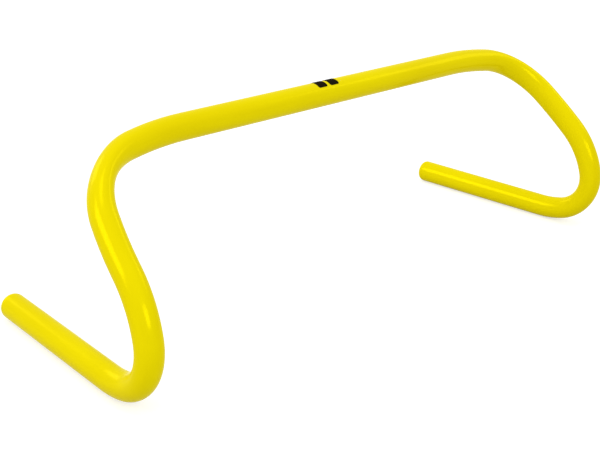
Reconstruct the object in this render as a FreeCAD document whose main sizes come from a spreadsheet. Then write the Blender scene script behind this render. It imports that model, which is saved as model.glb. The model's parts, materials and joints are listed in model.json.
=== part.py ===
"""Speed hurdle: one plastic tube bent into a bar, two legs and two feet, with its ends plugged.

The origin lies on the floor under the middle of the object. +X runs along the bar, the feet point
back along +Y, and +Z is up. Lengths are in millimetres and angles in degrees.
"""
import FreeCAD, Part
import enum
import math
import os
import Sketcher

# Driving dimensions: alias, value and meaning
SIZES = [
    ("tube_outer_diameter", "19", "outside of the tube"),
    ("tube_wall", "2", "thickness of the tube's wall"),
    ("bar_straight_length", "292", "straight part of the crossbar"),
    ("bar_setback", "8.74", "from the middle of the base back to the bar"),
    ("hoop_slope_angle", "40.6", "angle from the floor up to the plane of bar and legs"),
    ("top_bend_radius", "59.3", "centreline of the tight part of an upper bend"),
    ("top_bend_angle", "67.3", "angle of the tight part"),
    ("top_lead_radius", "254.7", "centreline of the gentle stretches beside it"),
    ("top_bar_lead_angle", "10.7", "angle of the gentle stretch next to the bar"),
    ("top_leg_lead_angle", "7.5", "angle of the gentle stretch next to the leg"),
    ("leg_straight_length", "3.8", "straight part of a leg"),
    ("bottom_bend_radius", "32.8", "centreline of the tight part of a lower bend"),
    ("bottom_lead_radius", "74.9", "centreline of the gentle stretches beside it"),
    ("bottom_leg_lead_angle", "32.9", "angle of the gentle stretch next to the leg"),
    ("bottom_foot_lead_angle", "15.3", "angle of the gentle stretch next to the foot"),
    ("foot_straight_length", "123.8", "straight part of a foot, up to its plug"),
    ("foot_toe_in_angle", "5.2", "angle by which a foot's end points inwards"),
    ("plug_head_land", "0.8", "straight side of the plug's head"),
    ("plug_edge_round", "4.8", "rounding between that side and the nose"),
    ("plug_clearance", "0.1", "gap between a barb's tip and the bore"),
    ("plug_wall", "1.8", "thickness of the hollow shank"),
    ("plug_lead_in", "1.2", "chamfer at the inner end of the shank"),
    ("plug_barb_start", "2.5", "from the plug's shoulder to its first barb"),
    ("plug_barb_length", "3", "one barb, along the shank"),
    ("plug_barb_height", "0.6", "barb above the shank"),
    ("plug_barb_pitch", "4.5", "from one barb to the next"),
    ("plug_barb_count", "3", "barbs on one plug"),
    ("mark_bar_length", "9.5", "one printed bar, along the crossbar"),
    ("mark_bar_gap", "3", "between the two printed bars"),
    ("mark_bar_width", "10", "one printed bar, straight across the crossbar"),
    ("mark_offset", "8", "from the middle of the crossbar left to the middle of the print"),
    ("mark_lean_angle", "8", "angle from the crown forward to the middle of the print"),
    ("mark_film", "0.12", "thickness of the print film"),
    ("mark_bed", "0.03", "adhesive between the film and the tube"),
    ("mark_corner_radius", "1.6", "rounding of a printed bar's corners"),
    ("cut_overrun", "2", "how far a cut reaches past what it trims"),
]

# Dimensions that follow from the ones above: alias, formula and meaning
LAYOUT = [
    ("tube_radius", "Sizes.tube_outer_diameter / 2", "outside radius of the tube"),
    ("bore_radius", "tube_radius - Sizes.tube_wall", "inside radius of the tube"),
    ("bar_half_length", "Sizes.bar_straight_length / 2", "straight bar on one side of the middle"),
    ("top_early_turn", "Sizes.top_bar_lead_angle + Sizes.top_bend_angle", "turn past the tight part"),
    ("top_turn", "top_early_turn + Sizes.top_leg_lead_angle", "whole turn from the bar to the leg"),
    ("top_along",
     "Sizes.top_lead_radius * (sin(Sizes.top_bar_lead_angle) + sin(top_turn) - sin(top_early_turn))"
     " + Sizes.top_bend_radius * (sin(top_early_turn) - sin(Sizes.top_bar_lead_angle))",
     "reach of an upper bend along the bar"),
    ("top_across",
     "Sizes.top_lead_radius * (1 - cos(Sizes.top_bar_lead_angle) + cos(top_early_turn) - cos(top_turn))"
     " + Sizes.top_bend_radius * (cos(Sizes.top_bar_lead_angle) - cos(top_early_turn))",
     "reach of an upper bend square to the bar"),
    ("bottom_turn",
     "acos(-cos(top_turn) * sin(Sizes.foot_toe_in_angle)"
     " - sin(top_turn) * cos(Sizes.hoop_slope_angle) * cos(Sizes.foot_toe_in_angle)) / 1 deg",
     "whole turn from the leg to the flat foot"),
    ("bottom_early_turn", "bottom_turn - Sizes.bottom_foot_lead_angle", "turn past the tight part"),
    ("bottom_bend_angle", "bottom_early_turn - Sizes.bottom_leg_lead_angle", "angle of the tight part"),
    ("bottom_roll",
     "atan2(cos(Sizes.foot_toe_in_angle) * sin(Sizes.hoop_slope_angle);"
     " sin(Sizes.foot_toe_in_angle) * sin(top_turn)"
     " - cos(Sizes.foot_toe_in_angle) * cos(top_turn) * cos(Sizes.hoop_slope_angle)) / 1 deg",
     "twist of a lower bend's plane about the leg"),
    ("bottom_along",
     "Sizes.bottom_lead_radius"
     " * (sin(Sizes.bottom_leg_lead_angle) + sin(bottom_turn) - sin(bottom_early_turn))"
     " + Sizes.bottom_bend_radius * (sin(bottom_early_turn) - sin(Sizes.bottom_leg_lead_angle))",
     "reach of a lower bend along the leg"),
    ("bottom_across",
     "Sizes.bottom_lead_radius"
     " * (1 - cos(Sizes.bottom_leg_lead_angle) + cos(bottom_early_turn) - cos(bottom_turn))"
     " + Sizes.bottom_bend_radius * (cos(Sizes.bottom_leg_lead_angle) - cos(bottom_early_turn))",
     "reach of a lower bend square to the leg"),
    ("leg_to_corner",
     "Sizes.leg_straight_length + bottom_along - bottom_across / tan(bottom_turn)",
     "from the upper bend to where the lines of leg and foot meet"),
    ("corner_to_foot_end",
     "bottom_across / sin(bottom_turn) + Sizes.foot_straight_length",
     "from that corner to the tube's end"),
    ("hoop_run", "top_across + sin(top_turn) * leg_to_corner", "from the bar down its plane to that corner"),
    ("bar_height", "tube_radius + sin(Sizes.hoop_slope_angle) * hoop_run", "bar's centre above the floor"),
    ("foot_end_out",
     "bar_half_length + top_along + cos(top_turn) * leg_to_corner"
     " - sin(Sizes.foot_toe_in_angle) * corner_to_foot_end",
     "tube's end from the middle plane"),
    ("foot_end_back",
     "Sizes.bar_setback - cos(Sizes.hoop_slope_angle) * hoop_run"
     " + cos(Sizes.foot_toe_in_angle) * corner_to_foot_end",
     "tube's end behind the middle of the base"),
    ("half_centreline",
     "bar_half_length + Sizes.leg_straight_length + Sizes.foot_straight_length"
     " + (Sizes.top_lead_radius * (Sizes.top_bar_lead_angle + Sizes.top_leg_lead_angle)"
     " + Sizes.top_bend_radius * Sizes.top_bend_angle"
     " + Sizes.bottom_lead_radius * (Sizes.bottom_leg_lead_angle + Sizes.bottom_foot_lead_angle)"
     " + Sizes.bottom_bend_radius * bottom_bend_angle) * pi / 180",
     "length of the tube's centreline on one side"),
    ("plug_head_length", "Sizes.plug_head_land + Sizes.plug_edge_round", "plug outside the tube"),
    ("barb_radius", "bore_radius - Sizes.plug_clearance", "outside of the plug's barbs"),
    ("shank_radius", "barb_radius - Sizes.plug_barb_height", "outside of the plug's shank"),
    ("recess_radius", "shank_radius - Sizes.plug_wall", "inside of the plug's shank"),
    ("barb_root_radius", "(shank_radius + recess_radius) / 2", "middle of the shank's wall"),
    ("barb_end", "Sizes.plug_barb_start + Sizes.plug_barb_length", "from the shoulder past the first barb"),
    ("barb_row_length", "(Sizes.plug_barb_count - 1) * Sizes.plug_barb_pitch", "from first barb to last"),
    ("shank_length", "barb_end + barb_row_length + Sizes.plug_lead_in", "plug inside the tube"),
    ("film_inner_radius", "tube_radius + Sizes.mark_bed", "inside of the print film"),
    ("film_outer_radius", "film_inner_radius + Sizes.mark_film", "outside of the print film"),
    ("mark_inner_end", "Sizes.mark_bar_gap / 2", "printed bar's end by the middle of the print"),
    ("mark_outer_end", "mark_inner_end + Sizes.mark_bar_length", "printed bar's other end"),
    ("mark_half_width", "Sizes.mark_bar_width / 2", "printed bar on one side of its middle"),
    ("mark_block_height", "film_outer_radius + Sizes.cut_overrun", "block that the film is cut from"),
    ("mark_trim_radius", "mark_block_height + mark_half_width", "outside of the cut round the film"),
    ("mark_trim_length", "2 * (mark_outer_end + Sizes.cut_overrun)", "length of the cuts along the bar"),
]

X_AXIS = (1, 0, 0)
Y_AXIS = (0, 1, 0)
Z_AXIS = (0, 0, 1)

VOLUME_TOLERANCE_SHARE = 1e-4
UPRIGHT_SHARE = 0.5


class Axis(enum.IntEnum):
    """A sketch's own axes, by the numbers that its constraints use."""
    HORIZONTAL = -1
    VERTICAL = -2


class Point(enum.IntEnum):
    """The points of a line or circle, by the numbers that a sketch's constraints use."""
    START = 1
    END = 2
    CENTRE = 3


ORIGIN = (Axis.HORIZONTAL, Point.START)


def fill_sheets(doc):
    """Put the driving dimensions in one sheet, and the formulas that follow from them in another."""
    sizes = doc.addObject("Spreadsheet::Sheet", "Sizes")
    for row, (alias, value, meaning) in enumerate(SIZES, start=1):
        sizes.set(f"A{row}", meaning)
        sizes.set(f"B{row}", value)
        sizes.setAlias(f"B{row}", alias)
    doc.recompute()
    layout = doc.addObject("Spreadsheet::Sheet", "Layout")
    for row, (alias, formula, meaning) in enumerate(LAYOUT, start=1):
        layout.set(f"A{row}", meaning)
        layout.set(f"B{row}", f"={formula}")
        layout.setAlias(f"B{row}", alias)
    doc.recompute()


def step(x="0", y="0", z="0"):
    """Placement formula for a move without a turn."""
    return f"create(<<placement>>; create(<<vector>>; {x}; {y}; {z}); create(<<rotation>>; 0; 0; 0))"


def turn(axis, angle):
    """Placement formula for a turn about an axis through the local origin."""
    x, y, z = axis
    rotation = f"create(<<rotation>>; create(<<vector>>; {x}; {y}; {z}); {angle})"
    return f"create(<<placement>>; create(<<vector>>; 0; 0; 0); {rotation})"


def value_of(sketch, formula):
    """Present value of a formula, or zero where there is none."""
    return float(sketch.Document.Layout.evalExpression(formula)) if formula else 0.0


def origin_plane(body, role):
    return next(feature for feature in body.Origin.OriginFeatures if feature.Role == role)


def new_body(doc, label, placement):
    body = doc.addObject("PartDesign::Body", label.title().replace("_", ""))
    body.Label = label
    body.setExpression("Placement", placement)
    return body


def new_sketch(body, name, role):
    """Sketch on one of the body's own origin planes."""
    sketch = body.newObject("Sketcher::SketchObject", name)
    sketch.AttachmentSupport = [(origin_plane(body, role), "")]
    sketch.MapMode = "FlatFace"
    return sketch


def constrain(sketch, name, formula, kind, *places):
    """Add a named dimension whose value follows a formula."""
    index = sketch.addConstraint(Sketcher.Constraint(kind, *places, value_of(sketch, formula)))
    sketch.renameConstraint(index, name)
    sketch.setExpression(f"Constraints.{name}", formula)


def circles_sketch(body, name, role, radii, bend_radius=""):
    """Circles about one centre, at the local origin or a bend radius away from it along X."""
    sketch = new_sketch(body, name, role)
    centre = FreeCAD.Vector(value_of(sketch, bend_radius), 0, 0)
    for index, radius in enumerate(radii):
        sketch.addGeometry(Part.Circle(centre, FreeCAD.Vector(*Z_AXIS), value_of(sketch, radius)))
        constrain(sketch, f"radius_{index}", radius, "Radius", index)
        if index:
            sketch.addConstraint(Sketcher.Constraint("Coincident", index, Point.CENTRE, 0, Point.CENTRE))
    if bend_radius:
        sketch.addConstraint(Sketcher.Constraint("PointOnObject", 0, Point.CENTRE, Axis.HORIZONTAL))
        constrain(sketch, "bend_radius", bend_radius, "DistanceX", *ORIGIN, 0, Point.CENTRE)
    else:
        sketch.addConstraint(Sketcher.Constraint("Coincident", 0, Point.CENTRE, *ORIGIN))
    return sketch


def section_sketch(body, name, placement, bend_radius=""):
    """The tube's section, moved to its place along the tube."""
    radii = ("Layout.tube_radius", "Layout.bore_radius")
    sketch = circles_sketch(body, name, "XY_Plane", radii, bend_radius)
    sketch.setExpression("AttachmentOffset", placement)
    return sketch


def straight_run(body, name, start, length):
    """Run the tube along its local Z axis. Returns the placement formula of its far end."""
    sketch = section_sketch(body, f"{name}Section", start)
    run = body.newObject("PartDesign::Pad", name)
    run.Profile = sketch
    run.setExpression("Length", length)
    return f"{sketch.Name}.AttachmentOffset * {step(z=length)}"


def bend(body, name, start, radius, angle):
    """Bend the tube towards its local -X side. Returns the placement formula of its far end."""
    sketch = section_sketch(body, f"{name}Section", f"{start} * {step(x=f'-{radius}')}", radius)
    arc = body.newObject("PartDesign::Revolution", name)
    arc.Profile = sketch
    arc.ReferenceAxis = (sketch, ["V_Axis"])
    arc.Reversed = True
    arc.setExpression("Angle", angle)
    return f"{sketch.Name}.AttachmentOffset * {turn(Y_AXIS, f'-{angle}')} * {step(x=radius)}"


def outline_sketch(body, name, role, corners):
    """Closed outline of straight lines. Each corner is a pair of formulas, for across and along."""
    sketch = new_sketch(body, name, role)
    places = [(value_of(sketch, across), value_of(sketch, along)) for across, along in corners]
    points = [FreeCAD.Vector(across, along, 0) for across, along in places]
    for index, point in enumerate(points):
        sketch.addGeometry(Part.LineSegment(point, points[(index + 1) % len(points)]))
    for index, (across, along) in enumerate(corners):
        following = (index + 1) % len(corners)
        sketch.addConstraint(Sketcher.Constraint("Coincident", index, Point.END, following, Point.START))
        if across:
            constrain(sketch, f"across_{index}", across, "DistanceX", *ORIGIN, index, Point.START)
        else:
            sketch.addConstraint(Sketcher.Constraint("PointOnObject", index, Point.START, Axis.VERTICAL))
        if along:
            constrain(sketch, f"along_{index}", along, "DistanceY", *ORIGIN, index, Point.START)
        else:
            sketch.addConstraint(Sketcher.Constraint("PointOnObject", index, Point.START, Axis.HORIZONTAL))
    return sketch


def mirror_body(body, name):
    """Add the mirror image of the whole body in its YZ plane."""
    mirror = body.newObject("PartDesign::Mirrored", name)
    mirror.MirrorPlane = (origin_plane(body, "YZ_Plane"), [""])
    mirror.TransformMode = "Whole shape"
    body.Tip = mirror


def hurdle_tube(doc):
    """Half of the tube, run by run from the middle of the bar to the end of a foot, then mirrored."""
    body = new_body(doc, "hurdle_tube", step("0", "Sizes.bar_setback", "Layout.bar_height"))
    start = f"{turn(Y_AXIS, '90')} * {turn(Z_AXIS, '90 + Sizes.hoop_slope_angle')}"
    end = straight_run(body, "HalfBar", start, "Layout.bar_half_length")
    end = bend(body, "TopLeadAtBar", end, "Sizes.top_lead_radius", "Sizes.top_bar_lead_angle")
    end = bend(body, "TopBend", end, "Sizes.top_bend_radius", "Sizes.top_bend_angle")
    end = bend(body, "TopLeadAtLeg", end, "Sizes.top_lead_radius", "Sizes.top_leg_lead_angle")
    end = straight_run(body, "Leg", end, "Sizes.leg_straight_length")
    end = f"{end} * {turn(Z_AXIS, 'Layout.bottom_roll')}"
    end = bend(body, "BottomLeadAtLeg", end, "Sizes.bottom_lead_radius", "Sizes.bottom_leg_lead_angle")
    end = bend(body, "BottomBend", end, "Sizes.bottom_bend_radius", "Layout.bottom_bend_angle")
    end = bend(body, "BottomLeadAtFoot", end, "Sizes.bottom_lead_radius", "Sizes.bottom_foot_lead_angle")
    straight_run(body, "Foot", end, "Sizes.foot_straight_length")
    doc.recompute()
    mirror_body(body, "OtherHalf")
    return body


def revolved_plug(body):
    """The plug's head and hollow shank, still with a sharp nose, turned about the foot's centreline."""
    outline = outline_sketch(body, f"{body.Name}Outline", "XZ_Plane", [
        ("", "Layout.plug_head_length"),
        ("Layout.tube_radius", "Layout.plug_head_length"),
        ("Layout.tube_radius", ""),
        ("Layout.shank_radius", ""),
        ("Layout.shank_radius", "Sizes.plug_lead_in - Layout.shank_length"),
        ("Layout.shank_radius - Sizes.plug_lead_in", "-Layout.shank_length"),
        ("Layout.recess_radius", "-Layout.shank_length"),
        ("Layout.recess_radius", "Sizes.plug_head_land"),
        ("", "Sizes.plug_head_land"),
    ])
    plug = body.newObject("PartDesign::Revolution", f"{body.Name}Turned")
    plug.Profile = outline
    plug.ReferenceAxis = (outline, ["V_Axis"])


def plug_barbs(doc, body):
    """A row of barbs on the shank, each with its steep side towards the head."""
    outline = outline_sketch(body, f"{body.Name}BarbOutline", "XZ_Plane", [
        ("Layout.barb_root_radius", "-Sizes.plug_barb_start"),
        ("Layout.barb_radius", "-Sizes.plug_barb_start"),
        ("Layout.shank_radius", "-Layout.barb_end"),
        ("Layout.barb_root_radius", "-Layout.barb_end"),
    ])
    barb = body.newObject("PartDesign::Revolution", f"{body.Name}Barb")
    barb.Profile = outline
    barb.ReferenceAxis = (outline, ["V_Axis"])
    doc.recompute()
    row = body.newObject("PartDesign::LinearPattern", f"{body.Name}Barbs")
    row.Originals = [barb]
    row.Direction = (outline, ["V_Axis"])
    row.Reversed = True
    row.setExpression("Length", "Layout.barb_row_length")
    row.setExpression("Occurrences", "Sizes.plug_barb_count")
    body.Tip = row
    doc.recompute()
    return row


def highest_edge(shape):
    """Name of the edge round the flat end of the plug's head."""
    heights = [edge.CenterOfMass.z for edge in shape.Edges]
    return f"Edge{heights.index(max(heights)) + 1}"


def end_plug(doc, label, side):
    """Moulded plug: a rounded head as wide as the tube, and a hollow barbed shank inside its bore."""
    seat = step(f"{side} * Layout.foot_end_out", "Layout.foot_end_back", "Layout.tube_radius")
    facing = f"{turn(Z_AXIS, f'{side} * Sizes.foot_toe_in_angle')} * {turn(X_AXIS, '-90')}"
    body = new_body(doc, label, f"{seat} * {facing}")
    revolved_plug(body)
    barbs = plug_barbs(doc, body)
    nose = body.newObject("PartDesign::Fillet", f"{body.Name}Nose")
    nose.Base = (barbs, [highest_edge(barbs.Shape)])
    nose.setExpression("Radius", "Sizes.plug_edge_round")
    body.Tip = nose
    return body


def upright_edges(shape):
    """Names of the edges that run up rather than along or across."""
    names = []
    for index, edge in enumerate(shape.Edges, start=1):
        if abs(edge.tangentAt(edge.FirstParameter).z) > UPRIGHT_SHARE:
            names.append(f"Edge{index}")
    return names


def trim_along_bar(body, name, radii):
    """Cut what lies inside a circle, or between two circles, about the crossbar's centreline."""
    cut = body.newObject("PartDesign::Pocket", name)
    cut.Profile = circles_sketch(body, f"{name}Circles", "YZ_Plane", radii)
    cut.Midplane = True
    cut.setExpression("Length", "Layout.mark_trim_length")


def crown_mark(doc):
    """Two plain printed bars over the crown of the crossbar, left of its middle."""
    place = step("-Sizes.mark_offset", "Sizes.bar_setback", "Layout.bar_height")
    body = new_body(doc, "crown_mark", f"{place} * {turn(X_AXIS, 'Sizes.mark_lean_angle')}")
    outline = outline_sketch(body, "FilmOutline", "XY_Plane", [
        ("Layout.mark_inner_end", "-Layout.mark_half_width"),
        ("Layout.mark_outer_end", "-Layout.mark_half_width"),
        ("Layout.mark_outer_end", "Layout.mark_half_width"),
        ("Layout.mark_inner_end", "Layout.mark_half_width"),
    ])
    block = body.newObject("PartDesign::Pad", "FilmBlock")
    block.Profile = outline
    block.setExpression("Length", "Layout.mark_block_height")
    doc.recompute()
    corners = body.newObject("PartDesign::Fillet", "FilmCorners")
    corners.Base = (block, upright_edges(block.Shape))
    corners.setExpression("Radius", "Sizes.mark_corner_radius")
    trim_along_bar(body, "FilmInside", ["Layout.film_inner_radius"])
    trim_along_bar(body, "FilmOutside", ["Layout.mark_trim_radius", "Layout.film_outer_radius"])
    doc.recompute()
    mirror_body(body, "OtherBar")
    return body


def check(doc, bodies):
    """Stop if anything failed to build, or if the tube isn't as long as its centreline."""
    for item in doc.Objects:
        if "Invalid" in item.State or "Error" in item.State:
            raise RuntimeError(f"{item.Label} failed: {item.State}")
    for body in bodies:
        if body.Shape.isNull() or not body.Shape.isValid():
            raise RuntimeError(f"{body.Label} has no valid shape")
    tube = bodies[0].Shape
    layout = doc.Layout
    section = math.pi * (layout.tube_radius ** 2 - layout.bore_radius ** 2)
    expected = 2 * layout.half_centreline * section
    if abs(tube.Volume - expected) > VOLUME_TOLERANCE_SHARE * expected:
        raise RuntimeError(f"tube volume is {tube.Volume:.1f}, not {expected:.1f}")


def write(bodies):
    os.makedirs("parts", exist_ok=True)
    for body in bodies:
        body.Shape.exportStep(f"parts/{body.Label}.step")
        box = body.Shape.optimalBoundingBox()
        print(f"{body.Label}: {len(body.Shape.Solids)} solid(s), {body.Shape.Volume:.1f} mm3,"
              f" x {box.XMin:.2f} to {box.XMax:.2f}, y {box.YMin:.2f} to {box.YMax:.2f},"
              f" z {box.ZMin:.2f} to {box.ZMax:.2f}")


def main():
    doc = FreeCAD.newDocument("SpeedHurdle")
    fill_sheets(doc)
    bodies = [
        hurdle_tube(doc),
        end_plug(doc, "left_end_plug", "-1"),
        end_plug(doc, "right_end_plug", "1"),
        crown_mark(doc),
    ]
    doc.recompute()
    check(doc, bodies)
    write(bodies)


main()
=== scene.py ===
"""Speed hurdle: the bent tube, its end plugs and its print, dressed and set on a studio stage.

Lengths are in metres and angles in radians. +X runs along the bar, the feet point back along +Y,
and +Z is up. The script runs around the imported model, which gives the frame.
"""
import json
import math
from typing import NamedTuple

import bmesh
import bpy
from mathutils import Matrix, Vector


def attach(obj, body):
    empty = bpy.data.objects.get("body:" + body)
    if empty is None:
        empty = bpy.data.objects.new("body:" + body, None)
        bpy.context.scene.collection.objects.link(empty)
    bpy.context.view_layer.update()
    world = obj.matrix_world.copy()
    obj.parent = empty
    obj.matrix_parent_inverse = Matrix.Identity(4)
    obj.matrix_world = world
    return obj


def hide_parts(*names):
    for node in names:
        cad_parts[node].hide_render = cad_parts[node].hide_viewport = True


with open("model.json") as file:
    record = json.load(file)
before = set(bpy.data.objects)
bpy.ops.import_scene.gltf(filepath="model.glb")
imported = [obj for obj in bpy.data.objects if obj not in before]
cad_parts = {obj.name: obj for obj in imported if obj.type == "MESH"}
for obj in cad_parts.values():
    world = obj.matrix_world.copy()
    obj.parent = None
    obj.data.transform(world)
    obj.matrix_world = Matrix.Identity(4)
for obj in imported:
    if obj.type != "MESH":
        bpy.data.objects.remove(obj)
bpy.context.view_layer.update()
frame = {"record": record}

bl_info = {
    "name": "Speed Hurdle",
    "version": (1, 0, 0),
    "blender": (4, 5, 0),
    "location": "3D View > Sidebar > Hurdle",
    "description": "Builds a low training hurdle bent from one plastic tube",
    "category": "Add Mesh",
}

MM = 0.001
BODY = "root"
PATH_AXIS = 2
OUTWARD_AXIS = 0

# How finely the meshes are divided
BEND_STEP = math.radians(2)
STRAIGHT_STEP = 6 * MM
COLLAR_LENGTH = 0.5 * MM
TUBE_SIDES = 64
PLUG_SIDES = 64
ROUNDING_SEGMENTS = 10
RIM_SEGMENTS = 3
MARK_ROWS = 24
MARK_CORNER_STEPS = 8
MARK_MIDDLE_STEPS = 12
SHARP_ANGLE = math.radians(50)
ON_AXIS_RADIUS = 0.001 * MM


class Grain(NamedTuple):
    """A noise in a finish: how often it repeats in a metre along each axis, and its detail."""
    repeats: tuple
    detail: int


class Relief(NamedTuple):
    """A bump in a finish: its strength, and the height that it stands for."""
    strength_share: float
    height: float


# Grain of the finishes, and the values that most of a noise lies between
TUBE_DRIFT = Grain((60, 60, 9), 3)
TUBE_SCUFFS = Grain((420, 420, 420), 4)
TUBE_LINES = Grain((900, 900, 4), 2)
TUBE_SMEARS = Grain((120, 120, 30), 4)
TUBE_PEEL = Grain((650, 650, 650), 2)
PLUG_DRIFT = Grain((180, 180, 180), 3)
PLUG_GRAIN = Grain((1500, 1500, 1500), 2)
PLUG_RING_REPEATS = 700
PLUG_RING_DISTORTION = 0.4
INK_SPECKS = Grain((2600, 2600, 2600), 3)
NOISE_SPREAD = (0.3, 0.7)

# Noise at which a patch starts and is full, and heights up to which the floor rubs fully and at all
SCUFF_SPREAD = (0.45, 0.62)
THIN_INK_SPREAD = (0.56, 0.7)
SCUFF_HEIGHTS = (0.2 * MM, 1.2 * MM)

# Relief of the finishes
LINE_RELIEF = Relief(0.05, 0.05 * MM)
PEEL_RELIEF = Relief(0.06, 0.1 * MM)
RING_RELIEF = Relief(0.04, 0.05 * MM)
GRAIN_RELIEF = Relief(0.05, 0.05 * MM)
SPECK_RELIEF = Relief(0.12, 0.05 * MM)

# How the finishes reflect. The small metallic share and the edge tint keep the vinyl's gloss yellow.
TUBE_ROUGHNESS = (0.14, 0.18)
SMEAR_ROUGHNESS = 0.04
SCUFF_ROUGHNESS = 0.25
PLUG_ROUGHNESS = (0.2, 0.28)
INK_ROUGHNESS = (0.6, 0.75)
VINYL_METALLIC_SHARE = 0.12
VINYL_SPECULAR_LEVEL = 0.0125
VINYL_EDGE_TINT = (1, 0.95, 0.3, 1)
INK_SPECULAR_LEVEL = 0.01
WHITE = (1, 1, 1, 1)

# Record entries that the default sizes come from
FOOT_MOUNT = next(mount for mount in frame["record"]["mounts"] if mount["name"] == "right_foot")
TUBE_RADIUS = FOOT_MOUNT["dims"]["r_mm"] * MM


def length(name, description, millimetres):
    """Setting for a length, whose default is given in millimetres."""
    return bpy.props.FloatProperty(
        name=name, description=description, default=millimetres * MM, unit="LENGTH", precision=5)


def angle(name, description, degrees):
    """Setting for an angle, whose default is given in degrees."""
    return bpy.props.FloatProperty(
        name=name, description=description, default=math.radians(degrees), subtype="ANGLE")


def share(name, description, default):
    """Setting for a share from 0 to 1."""
    return bpy.props.FloatProperty(
        name=name, description=description, default=default, min=0, max=1, subtype="FACTOR")


def colour(name, description, red, green, blue):
    """Setting for a solid colour."""
    return bpy.props.FloatVectorProperty(
        name=name, description=description, default=(red, green, blue, 1), size=4, min=0, max=1,
        subtype="COLOR")


class HurdleTubeSizes(bpy.types.PropertyGroup):
    """Sizes of the bent tube."""
    outer_diameter: length("Outer diameter", "Outside of the tube", 2 * TUBE_RADIUS / MM)
    wall: length("Wall", "Thickness of the tube's wall", 2)
    bar_straight_length: length("Straight bar", "Straight part of the crossbar", 292)
    bar_setback: length("Bar setback", "From the middle of the base back to the bar", 8.74)
    hoop_slope: angle("Hoop slope", "From the floor up to the plane of bar and legs", 40.6)
    top_bend_radius: length("Upper bend radius", "Centreline of the tight part", 59.3)
    top_bend_angle: angle("Upper bend angle", "Turn of the tight part", 67.3)
    top_lead_radius: length("Upper lead radius", "Centreline of the gentle stretches", 254.7)
    top_bar_lead_angle: angle("Upper lead at bar", "Gentle turn next to the bar", 10.7)
    top_leg_lead_angle: angle("Upper lead at leg", "Gentle turn next to the leg", 7.5)
    leg_straight_length: length("Straight leg", "Straight part of a leg", 3.8)
    bottom_bend_radius: length("Lower bend radius", "Centreline of the tight part", 32.8)
    bottom_lead_radius: length("Lower lead radius", "Centreline of the gentle stretches", 74.9)
    bottom_leg_lead_angle: angle("Lower lead at leg", "Gentle turn next to the leg", 32.9)
    bottom_foot_lead_angle: angle("Lower lead at foot", "Gentle turn next to the foot", 15.3)
    foot_straight_length: length("Straight foot", "Straight part of a foot, up to its plug", 123.8)
    foot_toe_in: angle("Toe-in", "How far a foot's end points inwards", 5.2)
    top_squeeze: share("Upper squeeze", "How far an upper bend flattens the section", 0.179)
    top_widening: share("Upper widening", "How far that makes the section wider", 0.058)
    bottom_squeeze: share("Lower squeeze", "How far a lower bend flattens the section", 0.05)
    bottom_widening: share("Lower widening", "How far that makes the section wider", 0)
    end_rounding: length("End rounding", "Rounding of the tube's cut ends", 0.12)


class HurdlePlugSizes(bpy.types.PropertyGroup):
    """Sizes of an end plug."""
    head_land: length("Head land", "Straight side of the head", 0.8)
    edge_round: length("Nose rounding", "Rounding between that side and the nose", 4.8)
    rim_round: length("Rim rounding", "Rounding of the head's edge at the tube", 0.12)
    clearance: length("Clearance", "Gap between a barb's tip and the bore", 0.1)
    shank_wall: length("Shank wall", "Thickness of the hollow shank", 1.8)
    lead_in: length("Lead-in", "Chamfer at the inner end of the shank", 1.2)
    barb_start: length("Barb start", "From the shoulder to the first barb", 2.5)
    barb_length: length("Barb length", "One barb, along the shank", 3)
    barb_height: length("Barb height", "Barb above the shank", 0.6)
    barb_pitch: length("Barb pitch", "From one barb to the next", 4.5)
    barb_count: bpy.props.IntProperty(
        name="Barbs", description="Barbs on one plug", default=3, min=1)
    gate_radius: length("Gate radius", "Dimple in the nose that the mould's gate leaves", 1.1)
    gate_depth: length("Gate depth", "Depth of that dimple", 0.25)


class HurdleMarkSizes(bpy.types.PropertyGroup):
    """Sizes of the two printed bars on the crossbar."""
    bar_length: length("Bar length", "One printed bar, along the crossbar", 9.5)
    bar_gap: length("Gap", "Between the two printed bars", 3)
    bar_width: length("Bar width", "One printed bar, straight across the crossbar", 10)
    offset: length("Offset", "From the middle of the crossbar left to the middle of the print", 8)
    lean: angle("Lean", "From the crown forward to the middle of the print", 8)
    film: length("Film", "Top of the print above the tube", 0.14)
    bed: length("Bed", "How far the print's ink goes into the tube", 0.02)
    corner_radius: length("Corner radius", "Rounding of a printed bar's corners", 1.6)


class HurdleFinishes(bpy.types.PropertyGroup):
    """Colours of the finishes."""
    tube_yellow: colour("Tube yellow", "Main colour of the tube", 0.83, 0.70, 0.001)
    tube_deep_yellow: colour("Deep yellow", "Colour that the tube drifts towards", 0.78, 0.64, 0.001)
    scuffed_yellow: colour("Scuffed yellow", "Colour where the floor rubs the tube", 0.62, 0.52, 0.06)
    plug_yellow: colour("Plug yellow", "Main colour of the plugs", 0.83, 0.70, 0.001)
    print_black: colour("Print black", "Main colour of the print", 0.011, 0.007, 0.002)
    print_grey: colour("Thin print", "Colour where the print is thin", 0.022, 0.017, 0.006)
    floor_white: colour("Floor", "Colour of the pale floor", 0.55, 0.55, 0.55)


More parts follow.
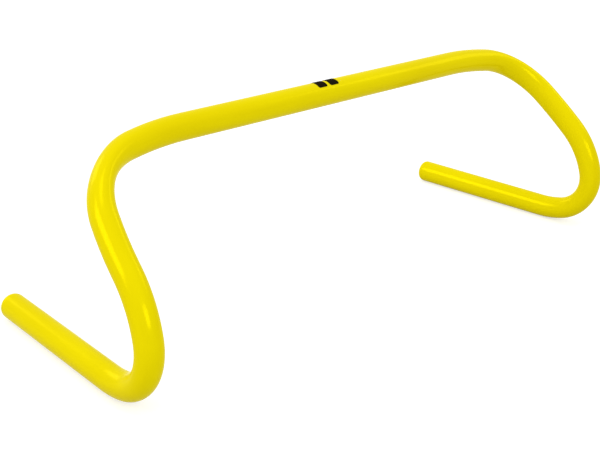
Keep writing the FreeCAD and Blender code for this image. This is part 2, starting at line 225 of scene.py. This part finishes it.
class HurdleStageSettings(bpy.types.PropertyGroup):
    """Camera and lamps."""
    camera_distance: length("Camera distance", "From the camera to what it looks at", 1009.308)
    camera_azimuth: angle("Camera azimuth", "Turn of the camera about the vertical", -47.061)
    camera_elevation: angle("Camera elevation", "Height of the camera above the horizon", 21.956)
    camera_roll: angle("Camera roll", "Turn of the camera about its own axis", 3.183)
    camera_aim: bpy.props.FloatVectorProperty(
        name="Camera aim", description="Point that the lens looks straight at",
        default=(33.675 * MM, 63.620 * MM, 10.708 * MM), size=3, unit="LENGTH")
    camera_lens: bpy.props.FloatProperty(
        name="Lens", description="Focal length", default=71.607, unit="CAMERA")
    softbox_level: share("Softbox level", "Brightness of all the softboxes together", 1)
    ambient: share("Ambient", "Even light from all round", 0.86)
    floor_glow: share("Floor glow", "How far the floor is lifted towards white where it is seen", 0.6)


class Station(NamedTuple):
    """A place on the tube's centreline. Local Z runs along the tube, local X away from the bend."""
    place: Matrix
    squeeze: float = 0.0
    widening: float = 0.0


class TubeRoute:
    """Stations along half of the tube, from the middle of the bar to the end of a foot."""

    def __init__(self, start):
        self.stations = [Station(start)]

    def straight(self, run):
        begin = self.stations[-1].place
        steps = math.ceil(run / STRAIGHT_STEP)
        for index in range(1, steps + 1):
            place = begin @ Matrix.Translation((0, 0, run * index / steps))
            self.stations.append(Station(place))

    def bend(self, arcs, squeeze, widening):
        """Follow arcs of radius and angle towards the local -X side, flattened most at half the turn."""
        whole_turn = sum(arc_angle for _, arc_angle in arcs)
        turned = 0.0
        for radius, arc_angle in arcs:
            centre = self.stations[-1].place @ Matrix.Translation((-radius, 0, 0))
            steps = math.ceil(arc_angle / BEND_STEP)
            for index in range(1, steps + 1):
                part = arc_angle * index / steps
                place = centre @ Matrix.Rotation(-part, 4, "Y") @ Matrix.Translation((radius, 0, 0))
                swell = math.sin(math.pi * (turned + part) / whole_turn) ** 2
                self.stations.append(Station(place, squeeze * swell, widening * swell))
            turned += arc_angle

    def roll_towards(self, direction):
        """Roll the last station so that the next bend turns towards a direction. Returns that turn."""
        place = self.stations[-1].place
        run = place.col[PATH_AXIS].to_3d()
        away = (run * direction.dot(run) - direction).normalized()
        rolled = Matrix((away, run.cross(away), run)).transposed().to_4x4()
        rolled.translation = place.translation
        self.stations[-1] = Station(rolled)
        return run.angle(direction)


def foot_direction(sizes, side):
    """The way that a foot points, from its bend to its plug. The side is -1 for left and 1 for right."""
    return Vector((-side * math.sin(sizes.foot_toe_in), math.cos(sizes.foot_toe_in), 0))


def right_half_stations(sizes):
    """Stations from the middle of the bar to the right foot's end, lifted to put the foot on the floor."""
    start = (
        Matrix.Translation((0, sizes.bar_setback, 0))
        @ Matrix.Rotation(math.pi / 2, 4, "Y")
        @ Matrix.Rotation(math.pi / 2 + sizes.hoop_slope, 4, "Z")
    )
    route = TubeRoute(start)
    route.straight(sizes.bar_straight_length / 2)
    route.bend([
        (sizes.top_lead_radius, sizes.top_bar_lead_angle),
        (sizes.top_bend_radius, sizes.top_bend_angle),
        (sizes.top_lead_radius, sizes.top_leg_lead_angle),
    ], sizes.top_squeeze, sizes.top_widening)
    route.straight(sizes.leg_straight_length)
    bottom_turn = route.roll_towards(foot_direction(sizes, 1))
    tight_turn = bottom_turn - sizes.bottom_leg_lead_angle - sizes.bottom_foot_lead_angle
    route.bend([
        (sizes.bottom_lead_radius, sizes.bottom_leg_lead_angle),
        (sizes.bottom_bend_radius, tight_turn),
        (sizes.bottom_lead_radius, sizes.bottom_foot_lead_angle),
    ], sizes.bottom_squeeze, sizes.bottom_widening)
    route.straight(sizes.foot_straight_length - COLLAR_LENGTH)
    route.straight(COLLAR_LENGTH)
    foot_end = route.stations[-1].place.translation
    lift = Matrix.Translation((0, 0, sizes.outer_diameter / 2 - foot_end.z))
    return [station._replace(place=lift @ station.place) for station in route.stations]


def path_mesh(name, right_half):
    """Mesh of points and edges along the whole tube, left foot to right foot."""
    places = [station.place.translation for station in right_half]
    outwards = [station.place.col[OUTWARD_AXIS].to_3d() for station in right_half]
    flip = Matrix.Diagonal((-1, 1, 1))
    points = [flip @ place for place in places[:0:-1]] + places
    outward = [flip @ away for away in outwards[:0:-1]] + outwards
    mesh = bpy.data.meshes.new(name)
    mesh.from_pydata(points, [(index, index + 1) for index in range(len(points) - 1)], [])
    store_vectors(mesh, "outward", outward)
    for change in ("squeeze", "widening"):
        half = [getattr(station, change) for station in right_half]
        values = mesh.attributes.new(change, "FLOAT", "POINT")
        values.data.foreach_set("value", half[:0:-1] + half)
    return mesh


def store_vectors(mesh, name, vectors):
    """Keep one vector for each vertex under a name."""
    attribute = mesh.attributes.new(name, "FLOAT_VECTOR", "POINT")
    attribute.data.foreach_set("vector", [number for vector in vectors for number in vector])


class NodeMaker:
    """Adds nodes to a tree and links them. A value may be another node's socket or a plain number."""

    def __init__(self, tree):
        self.tree = tree

    def node(self, kind, **settings):
        made = self.tree.nodes.new(kind)
        for name, value in settings.items():
            setattr(made, name, value)
        return made

    def put(self, socket, value):
        if isinstance(value, bpy.types.NodeSocket):
            self.tree.links.new(value, socket)
        else:
            socket.default_value = value

    def vector_math(self, operation, first, second):
        made = self.node("ShaderNodeVectorMath", operation=operation)
        self.put(made.inputs[0], first)
        self.put(made.inputs["Scale"] if operation == "SCALE" else made.inputs[1], second)
        return made.outputs["Value"] if operation == "DOT_PRODUCT" else made.outputs["Vector"]

    def math(self, operation, first, second):
        made = self.node("ShaderNodeMath", operation=operation)
        self.put(made.inputs[0], first)
        self.put(made.inputs[1], second)
        return made.outputs["Value"]

    def stored(self, name, data_type):
        made = self.node("GeometryNodeInputNamedAttribute", data_type=data_type)
        self.put(made.inputs["Name"], name)
        return made.outputs["Attribute"]

    def stretch(self, vector, scales):
        made = self.node("ShaderNodeMapping")
        self.put(made.inputs["Vector"], vector)
        self.put(made.inputs["Scale"], scales)
        return made.outputs["Vector"]

    def noise(self, vector, grain):
        made = self.node("ShaderNodeTexNoise")
        self.put(made.inputs["Vector"], self.stretch(vector, grain.repeats))
        self.put(made.inputs["Scale"], 1)
        self.put(made.inputs["Detail"], grain.detail)
        return made.outputs["Fac"]

    def ranged(self, value, from_low, from_high, low, high):
        made = self.node("ShaderNodeMapRange")
        for socket, setting in zip(made.inputs, (value, from_low, from_high, low, high)):
            self.put(socket, setting)
        return made.outputs["Result"]

    def mix(self, factor, first, second):
        made = self.node("ShaderNodeMix", data_type="RGBA")
        sockets = {socket.identifier: socket for socket in made.inputs}
        self.put(sockets["Factor_Float"], factor)
        self.put(sockets["A_Color"], first)
        self.put(sockets["B_Color"], second)
        return next(socket for socket in made.outputs if socket.identifier == "Result_Color")

    def bump(self, height, relief, normal=None):
        made = self.node("ShaderNodeBump")
        self.put(made.inputs["Height"], height)
        self.put(made.inputs["Strength"], relief.strength_share)
        self.put(made.inputs["Distance"], relief.height)
        if normal is not None:
            self.put(made.inputs["Normal"], normal)
        return made.outputs["Normal"]


def tube_sweep_tree():
    """Node tree that sweeps a round section along a path, and squeezes it in the bends."""
    tree = bpy.data.node_groups.new("bent_tube_sweep", "GeometryNodeTree")
    for name, kind in (
        ("Path", "NodeSocketGeometry"),
        ("Tube Radius", "NodeSocketFloat"),
        ("Sides", "NodeSocketInt"),
        ("Finish", "NodeSocketMaterial"),
    ):
        tree.interface.new_socket(name, in_out="INPUT", socket_type=kind)
    tree.interface.new_socket("Tube", in_out="OUTPUT", socket_type="NodeSocketGeometry")
    make = NodeMaker(tree)
    given = make.node("NodeGroupInput").outputs
    position = make.node("GeometryNodeInputPosition").outputs["Position"]

    # Path, with each point's own place and distance kept for later
    curve = make.node("GeometryNodeMeshToCurve")
    make.put(curve.inputs["Mesh"], given["Path"])
    travelled = make.node("GeometryNodeSplineParameter").outputs["Length"]
    path = make.node("GeometryNodeCaptureAttribute", domain="POINT")
    path.capture_items.new("VECTOR", "Centre")
    path.capture_items.new("FLOAT", "Along")
    make.put(path.inputs["Geometry"], curve.outputs["Curve"])
    make.put(path.inputs["Centre"], position)
    make.put(path.inputs["Along"], travelled)

    # Round section
    circle = make.node("GeometryNodeCurvePrimitiveCircle", mode="RADIUS")
    make.put(circle.inputs["Resolution"], given["Sides"])
    make.put(circle.inputs["Radius"], given["Tube Radius"])
    section = make.node("GeometryNodeCaptureAttribute", domain="POINT")
    section.capture_items.new("VECTOR", "Round")
    make.put(section.inputs["Geometry"], circle.outputs["Curve"])
    make.put(section.inputs["Round"], position)

    sweep = make.node("GeometryNodeCurveToMesh")
    make.put(sweep.inputs["Curve"], path.outputs["Geometry"])
    make.put(sweep.inputs["Profile Curve"], section.outputs["Geometry"])

    # The bend squeezes the section in its own plane and widens it across
    outward = make.stored("outward", "FLOAT_VECTOR")
    spoke = make.vector_math("SUBTRACT", position, path.outputs["Centre"])
    in_plane = make.vector_math("SCALE", outward, make.vector_math("DOT_PRODUCT", spoke, outward))
    across = make.vector_math("SUBTRACT", spoke, in_plane)
    wider = make.vector_math("SCALE", across, make.stored("widening", "FLOAT"))
    flatter = make.vector_math("SCALE", in_plane, make.stored("squeeze", "FLOAT"))
    squeezed = make.node("GeometryNodeSetPosition")
    make.put(squeezed.inputs["Geometry"], sweep.outputs["Mesh"])
    make.put(squeezed.inputs["Offset"], make.vector_math("SUBTRACT", wider, flatter))

    # Where each point was before the tube was bent, for finishes that follow the tube
    parts = make.node("ShaderNodeSeparateXYZ")
    make.put(parts.inputs["Vector"], section.outputs["Round"])
    unbent = make.node("ShaderNodeCombineXYZ")
    make.put(unbent.inputs["X"], parts.outputs["X"])
    make.put(unbent.inputs["Y"], parts.outputs["Y"])
    make.put(unbent.inputs["Z"], path.outputs["Along"])
    kept = make.node("GeometryNodeStoreNamedAttribute", data_type="FLOAT_VECTOR", domain="POINT")
    make.put(kept.inputs["Geometry"], squeezed.outputs["Geometry"])
    make.put(kept.inputs["Name"], "unbent")
    make.put(kept.inputs["Value"], unbent.outputs["Vector"])

    geometry = kept.outputs["Geometry"]
    for name in ("outward", "squeeze", "widening"):
        dropped = make.node("GeometryNodeRemoveAttribute")
        make.put(dropped.inputs["Geometry"], geometry)
        make.put(dropped.inputs["Name"], name)
        geometry = dropped.outputs["Geometry"]
    smooth = make.node("GeometryNodeSetShadeSmooth")
    make.put(smooth.inputs["Geometry"], geometry)
    whole = make.node("GeometryNodeRealizeInstances")
    make.put(whole.inputs["Geometry"], smooth.outputs["Geometry"])
    dressed = make.node("GeometryNodeSetMaterial")
    make.put(dressed.inputs["Geometry"], whole.outputs["Geometry"])
    make.put(dressed.inputs["Material"], given["Finish"])
    result = make.node("NodeGroupOutput")
    make.put(result.inputs["Tube"], dressed.outputs["Geometry"])
    return tree


def add_sweep(piece, values):
    """Give a piece the sweep as a modifier, with its inputs set by name."""
    modifier = piece.modifiers.new("Sweep", "NODES")
    modifier.node_group = tube_sweep_tree()
    identifiers = {
        item.name: item.identifier
        for item in modifier.node_group.interface.items_tree
        if item.item_type == "SOCKET" and item.in_out == "INPUT"
    }
    for name, value in values.items():
        modifier[identifiers[name]] = value


def add_wall(piece, thickness):
    """Thicken a surface inwards, with its ends closed by rims."""
    wall = piece.modifiers.new("Wall", "SOLIDIFY")
    wall.thickness = thickness
    wall.offset = -1
    wall.use_even_offset = True
    wall.use_rim = True


def add_edge_rounding(piece, width):
    """Round the sharp edges."""
    rounding = piece.modifiers.new("Edges", "BEVEL")
    rounding.width = width
    rounding.segments = RIM_SEGMENTS
    rounding.limit_method = "ANGLE"
    rounding.angle_limit = SHARP_ANGLE


def make_plain(piece):
    """Turn a piece's modifiers into its own mesh."""
    graph = bpy.context.evaluated_depsgraph_get()
    mesh = bpy.data.meshes.new_from_object(
        piece.evaluated_get(graph), preserve_all_data_layers=True, depsgraph=graph)
    before = piece.data
    piece.modifiers.clear()
    piece.data = mesh
    mesh.name = piece.name
    bpy.data.meshes.remove(before)


def require_closed(piece):
    """Stop if a piece has an open edge or is inside out."""
    shape = bmesh.new()
    shape.from_mesh(piece.data)
    open_edges = sum(not edge.is_manifold for edge in shape.edges)
    volume = shape.calc_volume(signed=True)
    shape.free()
    if open_edges or volume <= 0:
        raise RuntimeError(f"{piece.name}: {open_edges} open edges, volume {volume}")


def add_piece(name, mesh):
    """New object at the origin, in the scene."""
    piece = bpy.data.objects.new(name, mesh)
    bpy.context.scene.collection.objects.link(piece)
    return piece


def seat(piece, node):
    """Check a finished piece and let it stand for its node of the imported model."""
    require_closed(piece)
    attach(piece, BODY)
    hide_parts(node)


def new_finish(name):
    """Material with a shader, and a maker for its other nodes."""
    finish = bpy.data.materials.new(name)
    finish.use_nodes = True
    return finish, finish.node_tree.nodes["Principled BSDF"].inputs, NodeMaker(finish.node_tree)


def attribute_vector(make, name):
    made = make.node("ShaderNodeAttribute", attribute_name=name)
    return made.outputs["Vector"]


def set_vinyl_gloss(shader):
    """The reflection that the tube and its plugs share."""
    shader["Metallic"].default_value = VINYL_METALLIC_SHARE
    shader["Specular IOR Level"].default_value = VINYL_SPECULAR_LEVEL
    shader["Specular Tint"].default_value = VINYL_EDGE_TINT


def glossy_tube_finish(colours):
    """Extruded vinyl: fine lines along the tube, faint orange peel, and rubbing where it meets the floor."""
    finish, shader, make = new_finish("glossy_yellow_vinyl")
    unbent = attribute_vector(make, "unbent")
    place = make.node("ShaderNodeTexCoord").outputs["Object"]
    height = make.node("ShaderNodeSeparateXYZ")
    make.put(height.inputs["Vector"], place)

    drift = make.ranged(make.noise(unbent, TUBE_DRIFT), *NOISE_SPREAD, 0, 1)
    yellow = make.mix(drift, tuple(colours.tube_yellow), tuple(colours.tube_deep_yellow))
    near_floor = make.ranged(height.outputs["Z"], *SCUFF_HEIGHTS, 1, 0)
    patches = make.ranged(make.noise(unbent, TUBE_SCUFFS), *SCUFF_SPREAD, 0, 1)
    rubbed = make.math("MULTIPLY", near_floor, patches)
    make.put(shader["Base Color"], make.mix(rubbed, yellow, tuple(colours.scuffed_yellow)))

    lines = make.noise(unbent, TUBE_LINES)
    line_roughness = make.ranged(lines, 0, 1, *TUBE_ROUGHNESS)
    smear_roughness = make.ranged(make.noise(unbent, TUBE_SMEARS), *NOISE_SPREAD, 0, SMEAR_ROUGHNESS)
    scuff_roughness = make.math("MULTIPLY", rubbed, SCUFF_ROUGHNESS)
    roughness = make.math("ADD", line_roughness, smear_roughness)
    make.put(shader["Roughness"], make.math("ADD", roughness, scuff_roughness))
    line_relief = make.bump(lines, LINE_RELIEF)
    make.put(shader["Normal"], make.bump(make.noise(unbent, TUBE_PEEL), PEEL_RELIEF, line_relief))
    set_vinyl_gloss(shader)
    return finish


def moulded_plug_finish(colours):
    """Moulded vinyl: slightly duller than the tube, with faint rings from the mould."""
    finish, shader, make = new_finish("moulded_yellow_vinyl")
    turned = attribute_vector(make, "turned")
    drift = make.ranged(make.noise(turned, PLUG_DRIFT), *NOISE_SPREAD, 0, 1)
    yellow = make.mix(drift, tuple(colours.plug_yellow), tuple(colours.tube_deep_yellow))
    make.put(shader["Base Color"], yellow)
    grain = make.noise(turned, PLUG_GRAIN)
    make.put(shader["Roughness"], make.ranged(grain, *NOISE_SPREAD, *PLUG_ROUGHNESS))
    rings = make.node("ShaderNodeTexWave", wave_type="RINGS", rings_direction="Z")
    make.put(rings.inputs["Vector"], turned)
    make.put(rings.inputs["Scale"], PLUG_RING_REPEATS)
    make.put(rings.inputs["Distortion"], PLUG_RING_DISTORTION)
    ring_relief = make.bump(rings.outputs["Fac"], RING_RELIEF)
    make.put(shader["Normal"], make.bump(grain, GRAIN_RELIEF, ring_relief))
    set_vinyl_gloss(shader)
    return finish


def matte_print_finish(colours):
    """Screen print: dense black ink with thin specks and a dry surface."""
    finish, shader, make = new_finish("matte_black_ink")
    place = make.node("ShaderNodeTexCoord").outputs["Object"]
    specks = make.noise(place, INK_SPECKS)
    thin = make.ranged(specks, *THIN_INK_SPREAD, 0, 1)
    make.put(shader["Base Color"], make.mix(thin, tuple(colours.print_black), tuple(colours.print_grey)))
    make.put(shader["Roughness"], make.ranged(specks, *NOISE_SPREAD, *INK_ROUGHNESS))
    make.put(shader["Normal"], make.bump(specks, SPECK_RELIEF))
    shader["Specular IOR Level"].default_value = INK_SPECULAR_LEVEL
    return finish


def rounded_outline(corners):
    """Points along an outline of (across, along, rounding) corners, with an arc at each rounding."""
    places = [Vector((across, along)) for across, along, _ in corners]
    points = []
    for index, corner in enumerate(places):
        rounding = corners[index][2]
        if not rounding:
            points.append(corner)
            continue
        back = (places[index - 1] - corner).normalized()
        ahead = (places[index + 1] - corner).normalized()
        half_angle = back.angle(ahead) / 2
        start = corner + back * rounding / math.tan(half_angle)
        centre = corner + (back + ahead).normalized() * rounding / math.sin(half_angle)
        spoke = start - centre
        sweep = math.copysign(math.pi - 2 * half_angle, back.x * ahead.y - back.y * ahead.x)
        for step in range(ROUNDING_SEGMENTS + 1):
            turn = Matrix.Rotation(-sweep * step / ROUNDING_SEGMENTS, 2)
            points.append(centre + turn @ spoke)
    return points


def plug_outline(plug, tube):
    """Half section of a plug, from the middle of its nose to the bottom of its hollow shank."""
    radius = tube.outer_diameter / 2
    nose = plug.head_land + plug.edge_round
    barb_radius = radius - tube.wall - plug.clearance
    shank_radius = barb_radius - plug.barb_height
    recess_radius = shank_radius - plug.shank_wall
    soft_edge = plug.rim_round
    corners = [
        (0, nose - plug.gate_depth, 0),
        (plug.gate_radius - plug.gate_depth, nose - plug.gate_depth, soft_edge),
        (plug.gate_radius, nose, soft_edge),
        (radius, nose, plug.edge_round),
        (radius, 0, plug.rim_round),
        (shank_radius, 0, soft_edge),
    ]
    last_barb = 0
    for index in range(plug.barb_count):
        barb = plug.barb_start + index * plug.barb_pitch
        last_barb = barb + plug.barb_length
        corners.append((shank_radius, -barb, 0))
        corners.append((barb_radius, -barb, soft_edge))
        corners.append((shank_radius, -last_barb, 0))
    shank_end = last_barb + plug.lead_in
    corners.append((shank_radius - plug.lead_in, -shank_end, soft_edge))
    corners.append((recess_radius, -shank_end, soft_edge))
    corners.append((recess_radius, plug.head_land, soft_edge))
    corners.append((0, plug.head_land, 0))
    return rounded_outline(corners)


def turned_mesh(name, outline):
    """Turn an outline about its own axis. It starts and ends on the axis."""
    shape = bmesh.new()
    rings = []
    for point in outline:
        if point.x < ON_AXIS_RADIUS:
            rings.append([shape.verts.new((0, 0, point.y))])
            continue
        turns = [2 * math.pi * index / PLUG_SIDES for index in range(PLUG_SIDES)]
        rings.append([
            shape.verts.new((point.x * math.cos(turn), point.x * math.sin(turn), point.y)) for turn in turns
        ])
    for upper, lower in zip(rings, rings[1:]):
        for index in range(PLUG_SIDES):
            following = (index + 1) % PLUG_SIDES
            corners = [upper[index % len(upper)], lower[index % len(lower)],
                       lower[following % len(lower)], upper[following % len(upper)]]
            face = shape.faces.new(list(dict.fromkeys(corners)))
            face.smooth = True
    mesh = bpy.data.meshes.new(name)
    shape.to_mesh(mesh)
    shape.free()
    mesh.set_sharp_from_angle(angle=SHARP_ANGLE)
    return mesh


def mark_columns(mark):
    """Pairs of (along, half width) for the columns of one printed bar, with its corners rounded."""
    half_length = mark.bar_length / 2
    half_width = mark.bar_width / 2
    corner = mark.corner_radius
    columns = []
    for step in range(MARK_CORNER_STEPS + 1):
        turn = math.pi / 2 * step / MARK_CORNER_STEPS
        along = -half_length + corner * (1 - math.cos(turn))
        columns.append((along, half_width - corner * (1 - math.sin(turn))))
    middle = mark.bar_length - 2 * corner
    for step in range(1, MARK_MIDDLE_STEPS):
        columns.append((-middle / 2 + middle * step / MARK_MIDDLE_STEPS, half_width))
    ends = columns[:MARK_CORNER_STEPS + 1]
    return columns + [(-along, width) for along, width in reversed(ends)]


def mark_mesh(name, mark, tube, bar_middle):
    """Top faces of the two printed bars, lying on the round crossbar."""
    radius = tube.outer_diameter / 2 + mark.film
    spacing = (mark.bar_gap + mark.bar_length) / 2
    middle = bar_middle - Vector((mark.offset, 0, 0))
    place = Matrix.Translation(middle) @ Matrix.Rotation(mark.lean, 4, "X")
    shape = bmesh.new()
    for side in (-1, 1):
        grid = []
        for along, half_width in mark_columns(mark):
            column = []
            for row in range(MARK_ROWS + 1):
                across = half_width * (2 * row / MARK_ROWS - 1)
                height = math.sqrt(radius ** 2 - across ** 2)
                point = Vector((side * spacing + along, across, height))
                column.append(shape.verts.new(place @ point))
            grid.append(column)
        for left, right in zip(grid, grid[1:]):
            for row in range(MARK_ROWS):
                face = shape.faces.new((left[row], right[row], right[row + 1], left[row + 1]))
                face.smooth = True
    mesh = bpy.data.meshes.new(name)
    shape.to_mesh(mesh)
    shape.free()
    return mesh


class HURDLE_OT_bent_tube(bpy.types.Operator):
    """Bend the tube and dress it in glossy yellow vinyl"""
    bl_idname = "hurdle.bent_tube"
    bl_label = "Bent Tube"

    def execute(self, context):
        sizes = context.scene.hurdle_tube
        piece = add_piece("bent_tube", path_mesh("bent_tube_path", right_half_stations(sizes)))
        add_sweep(piece, {
            "Tube Radius": sizes.outer_diameter / 2,
            "Sides": TUBE_SIDES,
            "Finish": glossy_tube_finish(context.scene.hurdle_finishes),
        })
        add_wall(piece, sizes.wall)
        add_edge_rounding(piece, sizes.end_rounding)
        make_plain(piece)
        seat(piece, "hurdle_tube")
        return {"FINISHED"}


class HURDLE_OT_end_plugs(bpy.types.Operator):
    """Turn the two end plugs and press them into the feet"""
    bl_idname = "hurdle.end_plugs"
    bl_label = "End Plugs"

    def execute(self, context):
        tube = context.scene.hurdle_tube
        finish = moulded_plug_finish(context.scene.hurdle_finishes)
        foot_end = right_half_stations(tube)[-1].place.translation
        outline = plug_outline(context.scene.hurdle_plug, tube)
        for side, name in ((-1, "left"), (1, "right")):
            mesh = turned_mesh(f"{name}_rounded_plug", outline)
            store_vectors(mesh, "turned", [vertex.co.copy() for vertex in mesh.vertices])
            upright = foot_direction(tube, side).to_track_quat("Z", "Y").to_matrix().to_4x4()
            mesh.transform(Matrix.Translation((side * foot_end.x, foot_end.y, foot_end.z)) @ upright)
            mesh.materials.append(finish)
            piece = add_piece(f"{name}_rounded_plug", mesh)
            seat(piece, f"{name}_end_plug")
        return {"FINISHED"}


class HURDLE_OT_printed_mark(bpy.types.Operator):
    """Print the two plain bars on the crown of the crossbar"""
    bl_idname = "hurdle.printed_mark"
    bl_label = "Printed Mark"

    def execute(self, context):
        mark = context.scene.hurdle_mark
        tube = context.scene.hurdle_tube
        bar_middle = right_half_stations(tube)[0].place.translation
        piece = add_piece("printed_bars", mark_mesh("printed_bars", mark, tube, bar_middle))
        piece.data.materials.append(matte_print_finish(context.scene.hurdle_finishes))
        add_wall(piece, mark.film + mark.bed)
        make_plain(piece)
        piece.data.set_sharp_from_angle(angle=SHARP_ANGLE)
        seat(piece, "crown_mark")
        return {"FINISHED"}


class Softbox(NamedTuple):
    """A lamp: its direction from the hurdle in degrees, its size, and its brightness, where 1 is white."""
    name: str
    azimuth: float
    elevation: float
    width: float
    height: float
    brightness: float


SOFTBOXES = (
    Softbox("upper_left_softbox", -73, 40, 3.8, 1.7, 2.5),
    Softbox("lower_left_softbox", -72, 26, 3.2, 1.3, 2.5),
    Softbox("front_softbox", -170, 26, 2.8, 1.8, 2.5),
    Softbox("right_softbox", 106, 32, 2.5, 1.4, 1.3),
    Softbox("back_softbox", -6, 23, 2.0, 2.6, 1.5),
    Softbox("top_softbox", -60, 80, 2.2, 2.2, 1.5),
)
SOFTBOX_DISTANCE = 6.0
FLOOR_SIZE = 8.0
FLOOR_DROP = 0.05 * MM
SENSOR_WIDTH = 36


def seen_directly(make):
    """1 for rays from the camera, in a reflection or through glass, and 0 for rays that carry light."""
    ray = make.node("ShaderNodeLightPath").outputs
    seen = make.math("MAXIMUM", ray["Is Camera Ray"], ray["Is Glossy Ray"])
    return make.math("MAXIMUM", seen, ray["Is Transmission Ray"])


def add_floor(colours, glow):
    """Plain pale floor, just under the hurdle. It looks white and keeps the hurdle's shadow."""
    half = FLOOR_SIZE / 2
    mesh = bpy.data.meshes.new("pale_floor")
    corners = [(-half, -half, -FLOOR_DROP), (half, -half, -FLOOR_DROP),
               (half, half, -FLOOR_DROP), (-half, half, -FLOOR_DROP)]
    mesh.from_pydata(corners, [], [(0, 1, 2, 3)])
    finish, shader, make = new_finish("pale_floor")
    shader["Base Color"].default_value = tuple(colours.floor_white)
    shader["Roughness"].default_value = 1
    shader["Specular IOR Level"].default_value = 0
    shader["Emission Color"].default_value = WHITE
    make.put(shader["Emission Strength"], make.ranged(seen_directly(make), 0, 1, 0, glow))
    mesh.materials.append(finish)
    floor = add_piece("pale_floor", mesh)


def add_world(ambient):
    """White to the camera and in reflections, and a plain even light elsewhere."""
    world = bpy.data.worlds.new("studio")
    world.use_nodes = True
    bpy.context.scene.world = world
    make = NodeMaker(world.node_tree)
    backdrop = world.node_tree.nodes["Background"].inputs
    backdrop["Color"].default_value = WHITE
    make.put(backdrop["Strength"], make.ranged(seen_directly(make), 0, 1, ambient, 1))


def add_softbox(box, level):
    """Flat lamp that faces the hurdle. Its power follows from its brightness and its size."""
    lamp = bpy.data.lights.new(box.name, "AREA")
    lamp.shape = "RECTANGLE"
    lamp.size = box.width
    lamp.size_y = box.height
    lamp.energy = level * box.brightness * math.pi * box.width * box.height
    direction = seen_from_middle(math.radians(box.azimuth), math.radians(box.elevation))
    softbox = add_piece(box.name, lamp)
    softbox.location = direction * SOFTBOX_DISTANCE
    softbox.rotation_euler = direction.to_track_quat("Z", "Y").to_euler()
    softbox.visible_camera = False


def seen_from_middle(azimuth, elevation):
    """Direction at an angle from +Y towards +X, and at a height above the horizon."""
    level = math.cos(elevation)
    return Vector((math.sin(azimuth) * level, math.cos(azimuth) * level, math.sin(elevation)))


def add_camera(stage):
    """Camera at the photograph's viewing angle."""
    azimuth, elevation = stage.camera_azimuth, stage.camera_elevation
    back = Vector((
        math.sin(azimuth) * math.cos(elevation),
        -math.cos(azimuth) * math.cos(elevation),
        math.sin(elevation),
    ))
    right = Vector((math.cos(azimuth), math.sin(azimuth), 0))
    axes = Matrix((right, back.cross(right), back)).transposed().to_4x4()
    lens = bpy.data.cameras.new("photo_view")
    lens.sensor_fit = "HORIZONTAL"
    lens.sensor_width = SENSOR_WIDTH
    lens.lens = stage.camera_lens
    camera = add_piece("photo_view", lens)
    place = Matrix.Translation(Vector(stage.camera_aim) + back * stage.camera_distance)
    camera.matrix_world = place @ axes @ Matrix.Rotation(stage.camera_roll, 4, "Z")
    bpy.context.scene.camera = camera


class HURDLE_OT_studio_stage(bpy.types.Operator):
    """Set the floor, the soft light and the camera"""
    bl_idname = "hurdle.studio_stage"
    bl_label = "Studio Stage"

    def execute(self, context):
        stage = context.scene.hurdle_stage
        add_floor(context.scene.hurdle_finishes, stage.floor_glow)
        add_world(stage.ambient)
        for box in SOFTBOXES:
            add_softbox(box, stage.softbox_level)
        add_camera(stage)
        context.scene.view_settings.view_transform = "Standard"
        return {"FINISHED"}


OPERATORS = (HURDLE_OT_bent_tube, HURDLE_OT_end_plugs, HURDLE_OT_printed_mark, HURDLE_OT_studio_stage)
SETTINGS = {
    "hurdle_tube": HurdleTubeSizes,
    "hurdle_plug": HurdlePlugSizes,
    "hurdle_mark": HurdleMarkSizes,
    "hurdle_finishes": HurdleFinishes,
    "hurdle_stage": HurdleStageSettings,
}


class HURDLE_PT_sidebar(bpy.types.Panel):
    """Lists the hurdle's operators and settings"""
    bl_idname = "HURDLE_PT_sidebar"
    bl_label = "Speed Hurdle"
    bl_space_type = "VIEW_3D"
    bl_region_type = "UI"
    bl_category = "Hurdle"

    def draw(self, context):
        for operator in OPERATORS:
            self.layout.operator(operator.bl_idname)
        for name in SETTINGS:
            settings = getattr(context.scene, name)
            column = self.layout.column()
            for key in settings.bl_rna.properties.keys():
                if key not in ("rna_type", "name"):
                    column.prop(settings, key)


def register():
    for kind in (*SETTINGS.values(), *OPERATORS, HURDLE_PT_sidebar):
        bpy.utils.register_class(kind)
    for name, kind in SETTINGS.items():
        setattr(bpy.types.Scene, name, bpy.props.PointerProperty(type=kind))


def unregister():
    for name in SETTINGS:
        delattr(bpy.types.Scene, name)
    for kind in (HURDLE_PT_sidebar, *reversed(OPERATORS), *SETTINGS.values()):
        bpy.utils.unregister_class(kind)


def main():
    """Build the pieces and the stage."""
    register()
    bpy.ops.hurdle.bent_tube()
    bpy.ops.hurdle.end_plugs()
    bpy.ops.hurdle.printed_mark()
    bpy.ops.hurdle.studio_stage()


if __name__ == "__main__":
    main()
